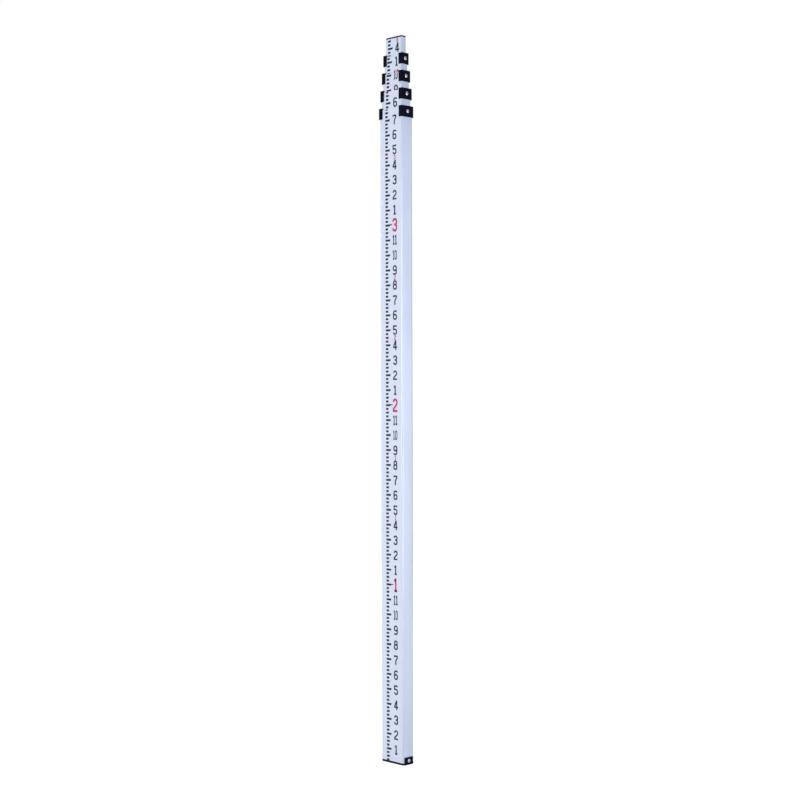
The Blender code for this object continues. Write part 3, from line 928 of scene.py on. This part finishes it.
dome_start = math.acos(MANDREL_HOLE / HEAD_RADIUS)
dome = []
for step in range(DOME_STEPS + 1):
    angle = dome_start * (1 - step / DOME_STEPS)
    dome.append((HEAD_RADIUS * math.cos(angle), HEAD_RIM + (HEAD_HEIGHT - HEAD_RIM) * math.sin(angle)))
hole_floor = HEAD_HEIGHT - MANDREL_DEPTH
stub_profile = [(0, hole_floor + STUB_HEIGHT), (MANDREL_STUB - STUB_EDGE, hole_floor + STUB_HEIGHT),
                (MANDREL_STUB, hole_floor + STUB_HEIGHT - STUB_EDGE), (MANDREL_STUB, hole_floor)]
hole_wall = [(MANDREL_HOLE, hole_floor), (MANDREL_HOLE, HEAD_HEIGHT - STUB_EDGE)]
shank = [(HEAD_RADIUS, 0), (SHANK_RADIUS, 0), (SHANK_RADIUS, -SHANK_LENGTH), (0, -SHANK_LENGTH)]
rivet_shape = turned("rivet", stub_profile + hole_wall + dome + shank)
fasteners = bpy.data.collections.new("fasteners")
fasteners.objects.link(rivet_shape)

riveter, riveter_in = start_tree("rivets")
add_socket(riveter, "Seats", "Geometry")
RIVETER_RIVET = add_socket(riveter, "Rivet", "Object")
RIVETER_METAL = add_socket(riveter, "Metal", "Material")
outward = riveter.nodes.new("GeometryNodeInputNamedAttribute")
outward.data_type = "FLOAT_VECTOR"
outward.inputs["Name"].default_value = "outward"
face_out = riveter.nodes.new("FunctionNodeAlignRotationToVector")
face_out.axis = "Z"
shape = riveter.nodes.new("GeometryNodeObjectInfo")
place = riveter.nodes.new("GeometryNodeInstanceOnPoints")
end_tree(riveter, (
    (riveter_in.outputs["Seats"], place.inputs["Points"]),
    (riveter_in.outputs["Rivet"], shape.inputs["Object"]),
    (shape.outputs["Geometry"], place.inputs["Instance"]),
    (outward.outputs["Attribute"], face_out.inputs["Vector"]),
    (face_out.outputs["Rotation"], place.inputs["Rotation"])),
    place.outputs["Instances"], riveter_in.outputs["Metal"])


def rivets(name, seats, body, nodes):
    """Rivets on seats, which are (place, outward direction), as one piece."""
    mesh = bpy.data.meshes.new(name)
    mesh.from_pydata([place for place, _ in seats], [], [])
    directions = mesh.attributes.new("outward", "FLOAT_VECTOR", "POINT")
    directions.data.foreach_set("vector", [value for _, direction in seats for value in direction])
    piece = placed(name, mesh)
    step = piece.modifiers.new("rivets", "NODES")
    step.node_group = riveter
    step[RIVETER_RIVET] = rivet_shape
    step[RIVETER_METAL] = rivet_metal
    plain_mesh(piece)
    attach(piece, body)
    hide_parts(*nodes)


seats = [((side * cap_high.x, SIDE_CENTRE, rivet_height), (side, 0, 0)) for side in (1, -1)]
rivets("foot_rivets", seats, "section_1", ("base_rivet_right", "base_rivet_left"))
for number in SECTIONS[:-1]:
    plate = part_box(f"collar_{number}_right")[1].x
    height = centre_of(f"collar_{number}_rivet_right").z
    seats = [((side * plate, SIDE_CENTRE, height), (side, 0, 0)) for side in (1, -1)]
    rivets(f"collar_{number}_rivets", seats, f"section_{number}",
           (f"collar_{number}_rivet_right", f"collar_{number}_rivet_left"))
bpy.data.objects.remove(rivet_shape, do_unlink=True)

# ---------------------------------------------------------------------------
# Catches. In the lower end of each of sections 2 to 5, a white nylon plug pinned across the
# tube, bored from the back for a plated button on a coil spring. The button snaps into the
# hole near the top of the tube outside when the section is fully drawn out.
# ---------------------------------------------------------------------------
PLUG_EDGE = 0.0005
BORE_RADIUS = 0.0044
PIN_CHAMFER = 0.0003
BUTTON_RADIUS = 0.0030
BUTTON_EDGE = 0.0006
CROWN_STEPS = 6
FLANGE_RADIUS = 0.0040
FLANGE_THICKNESS = 0.0010
WIRE_RADIUS = 0.0003
SPRING_TURNS = 4.0

nylon, tree, shader = new_material("nylon", (0.80, 0.79, 0.74), 0.48)
shader.inputs["Subsurface Weight"].default_value = 0.08
shader.inputs["Subsurface Scale"].default_value = 0.002
milling = noise(tree, (180, 180, 1500), 4.0, 0.55)
mottled(tree, shader, milling, (0.74, 0.73, 0.68), (0.83, 0.82, 0.78), 0.42, 0.56)
raise_grain(tree, shader, milling, 0.3, 0.00003)

nickel, tree, shader = new_material("nickel plate", (0.66, 0.66, 0.66), 0.2, 1.0)
tooling = noise(tree, (300, 3000, 300), 4.0, 0.6)
mottled(tree, shader, tooling, (0.60, 0.60, 0.60), (0.72, 0.71, 0.69), 0.16, 0.30)
raise_grain(tree, shader, tooling, 0.15, 0.00002)

wire_steel, tree, shader = new_material("drawn steel", (0.50, 0.50, 0.52), 0.3, 1.0)
draw_marks = noise(tree, (2500, 2500, 2500), 3.0, 0.5)
mottled(tree, shader, draw_marks, (0.42, 0.42, 0.44), (0.58, 0.58, 0.59), 0.25, 0.42)
raise_grain(tree, shader, draw_marks, 0.2, 0.00002)

coiler, coiler_in = start_tree("coil spring")
COILER_TURNS = add_socket(coiler, "Turns", "Float", SPRING_TURNS)
COILER_RADIUS = add_socket(coiler, "Coil radius", "Float", 0.0027)
COILER_WIRE = add_socket(coiler, "Wire radius", "Float", WIRE_RADIUS)
COILER_LENGTH = add_socket(coiler, "Length", "Float", 0.004)
COILER_METAL = add_socket(coiler, "Metal", "Material")
helix = coiler.nodes.new("GeometryNodeCurveSpiral")
helix.inputs["Resolution"].default_value = 24
wire = coiler.nodes.new("GeometryNodeCurvePrimitiveCircle")
wire.inputs["Resolution"].default_value = 12
sweep = coiler.nodes.new("GeometryNodeCurveToMesh")
sweep.inputs["Fill Caps"].default_value = True
lay_down = coiler.nodes.new("GeometryNodeTransform")
lay_down.inputs["Rotation"].default_value = (math.radians(-90), 0, 0)
end_tree(coiler, (
    (coiler_in.outputs["Turns"], helix.inputs["Rotations"]),
    (coiler_in.outputs["Coil radius"], helix.inputs["Start Radius"]),
    (coiler_in.outputs["Coil radius"], helix.inputs["End Radius"]),
    (coiler_in.outputs["Length"], helix.inputs["Height"]),
    (coiler_in.outputs["Wire radius"], wire.inputs["Radius"]),
    (helix.outputs["Curve"], sweep.inputs["Curve"]),
    (wire.outputs["Curve"], sweep.inputs["Profile Curve"]),
    (sweep.outputs["Mesh"], lay_down.inputs["Geometry"])),
    lay_down.outputs["Geometry"], coiler_in.outputs["Metal"])

for number in SECTIONS[1:]:
    body = f"section_{number}"
    width, depth, _ = tube_size[number]
    low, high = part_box(f"lock_plug_{number}")
    spring_low, spring_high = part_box(f"lock_spring_{number}")
    button_low, button_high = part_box(f"lock_button_{number}")
    pin_low, pin_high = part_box(f"lock_pin_{number}")
    axis_z = centre_of(f"lock_button_{number}").z
    pin_z = centre_of(f"lock_pin_{number}").z

    outline = rounded_outline(high.x - low.x, high.y - low.y, corner_of(number) - WALL - PLUG_GAP)
    plug = drawn(f"catch_plug_{number}", (outline,), low.z, high.z, nylon)
    bore = bar((0, spring_low.y - FIT, axis_z), (0, depth, axis_z), BORE_RADIUS)
    worked(plug, (("DIFFERENCE", bore), across(width, 0, pin_z, PIN_HOLE_RADIUS)), PLUG_EDGE, 3)
    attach(plug, body)
    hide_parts(f"lock_plug_{number}")

    radius = (pin_high.z - pin_low.z) / 2
    half = pin_high.x
    end = radius - PIN_CHAMFER
    pin = turned(f"cross_pin_{number}", [(0, half), (end, half), (radius, half - PIN_CHAMFER),
                                        (radius, PIN_CHAMFER - half), (end, -half), (0, -half)])
    pin.data.transform(Matrix.Translation((0, 0, pin_z)) @ Matrix.Rotation(math.radians(90), 4, "Y"))
    pin.data.materials.append(wire_steel)
    bpy.context.scene.collection.objects.link(pin)
    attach(pin, body)
    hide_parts(f"lock_pin_{number}")

    name = f"catch_spring_{number}"
    spring = placed(name, bpy.data.meshes.new(name))
    step = spring.modifiers.new("coil", "NODES")
    step.node_group = coiler
    step[COILER_TURNS] = SPRING_TURNS
    step[COILER_RADIUS] = (spring_high.x - spring_low.x) / 2 - WIRE_RADIUS
    step[COILER_WIRE] = WIRE_RADIUS
    step[COILER_LENGTH] = spring_high.y - spring_low.y - 2 * WIRE_RADIUS
    step[COILER_METAL] = wire_steel
    plain_mesh(spring)
    spring.data.transform(Matrix.Translation((0, spring_low.y + WIRE_RADIUS, axis_z)))
    spring.data.shade_smooth()
    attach(spring, body)
    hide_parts(f"lock_spring_{number}")
    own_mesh(spring)

    tip = button_high.y - button_low.y - FLANGE_THICKNESS
    crown = [(BUTTON_RADIUS - BUTTON_EDGE + BUTTON_EDGE * math.sin(angle),
              tip - BUTTON_EDGE + BUTTON_EDGE * math.cos(angle))
             for angle in (math.radians(90 * part / CROWN_STEPS) for part in range(CROWN_STEPS + 1))]
    button = turned(f"catch_button_{number}", [(0, tip)] + crown + [
        (BUTTON_RADIUS, 0), (FLANGE_RADIUS, 0), (FLANGE_RADIUS, -FLANGE_THICKNESS), (0, -FLANGE_THICKNESS)])
    button.data.transform(Matrix.Translation((0, button_low.y + FLANGE_THICKNESS, axis_z))
                          @ Matrix.Rotation(math.radians(-90), 4, "X"))
    button.data.materials.append(nickel)
    bpy.context.scene.collection.objects.link(button)
    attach(button, f"catch_{number}")
    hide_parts(f"lock_button_{number}")

# ---------------------------------------------------------------------------
# Top cap. The same plastic again: a thin plate over the rim of section 5, with a plug pressed
# into the tube.
# ---------------------------------------------------------------------------
PLATE = 0.0020

low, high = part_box("top_cap")
width, depth, _ = tube_size[SECTIONS[-1]]
corner = corner_of(SECTIONS[-1])
inset = 2 * (WALL + PLUG_GAP)
top_cap = drawn("top_cap_plate", (rounded_outline(width, depth, corner),), high.z - PLATE - PLUG_GAP + FIT,
                high.z, plastic)
plug = drawn("plug", (rounded_outline(width - inset, depth - inset, corner - WALL - PLUG_GAP),), low.z,
             high.z - PLATE / 2, plastic)
worked(top_cap, (("UNION", plug),), MOULDED_EDGE, 3)
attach(top_cap, f"section_{SECTIONS[-1]}")
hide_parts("top_cap")
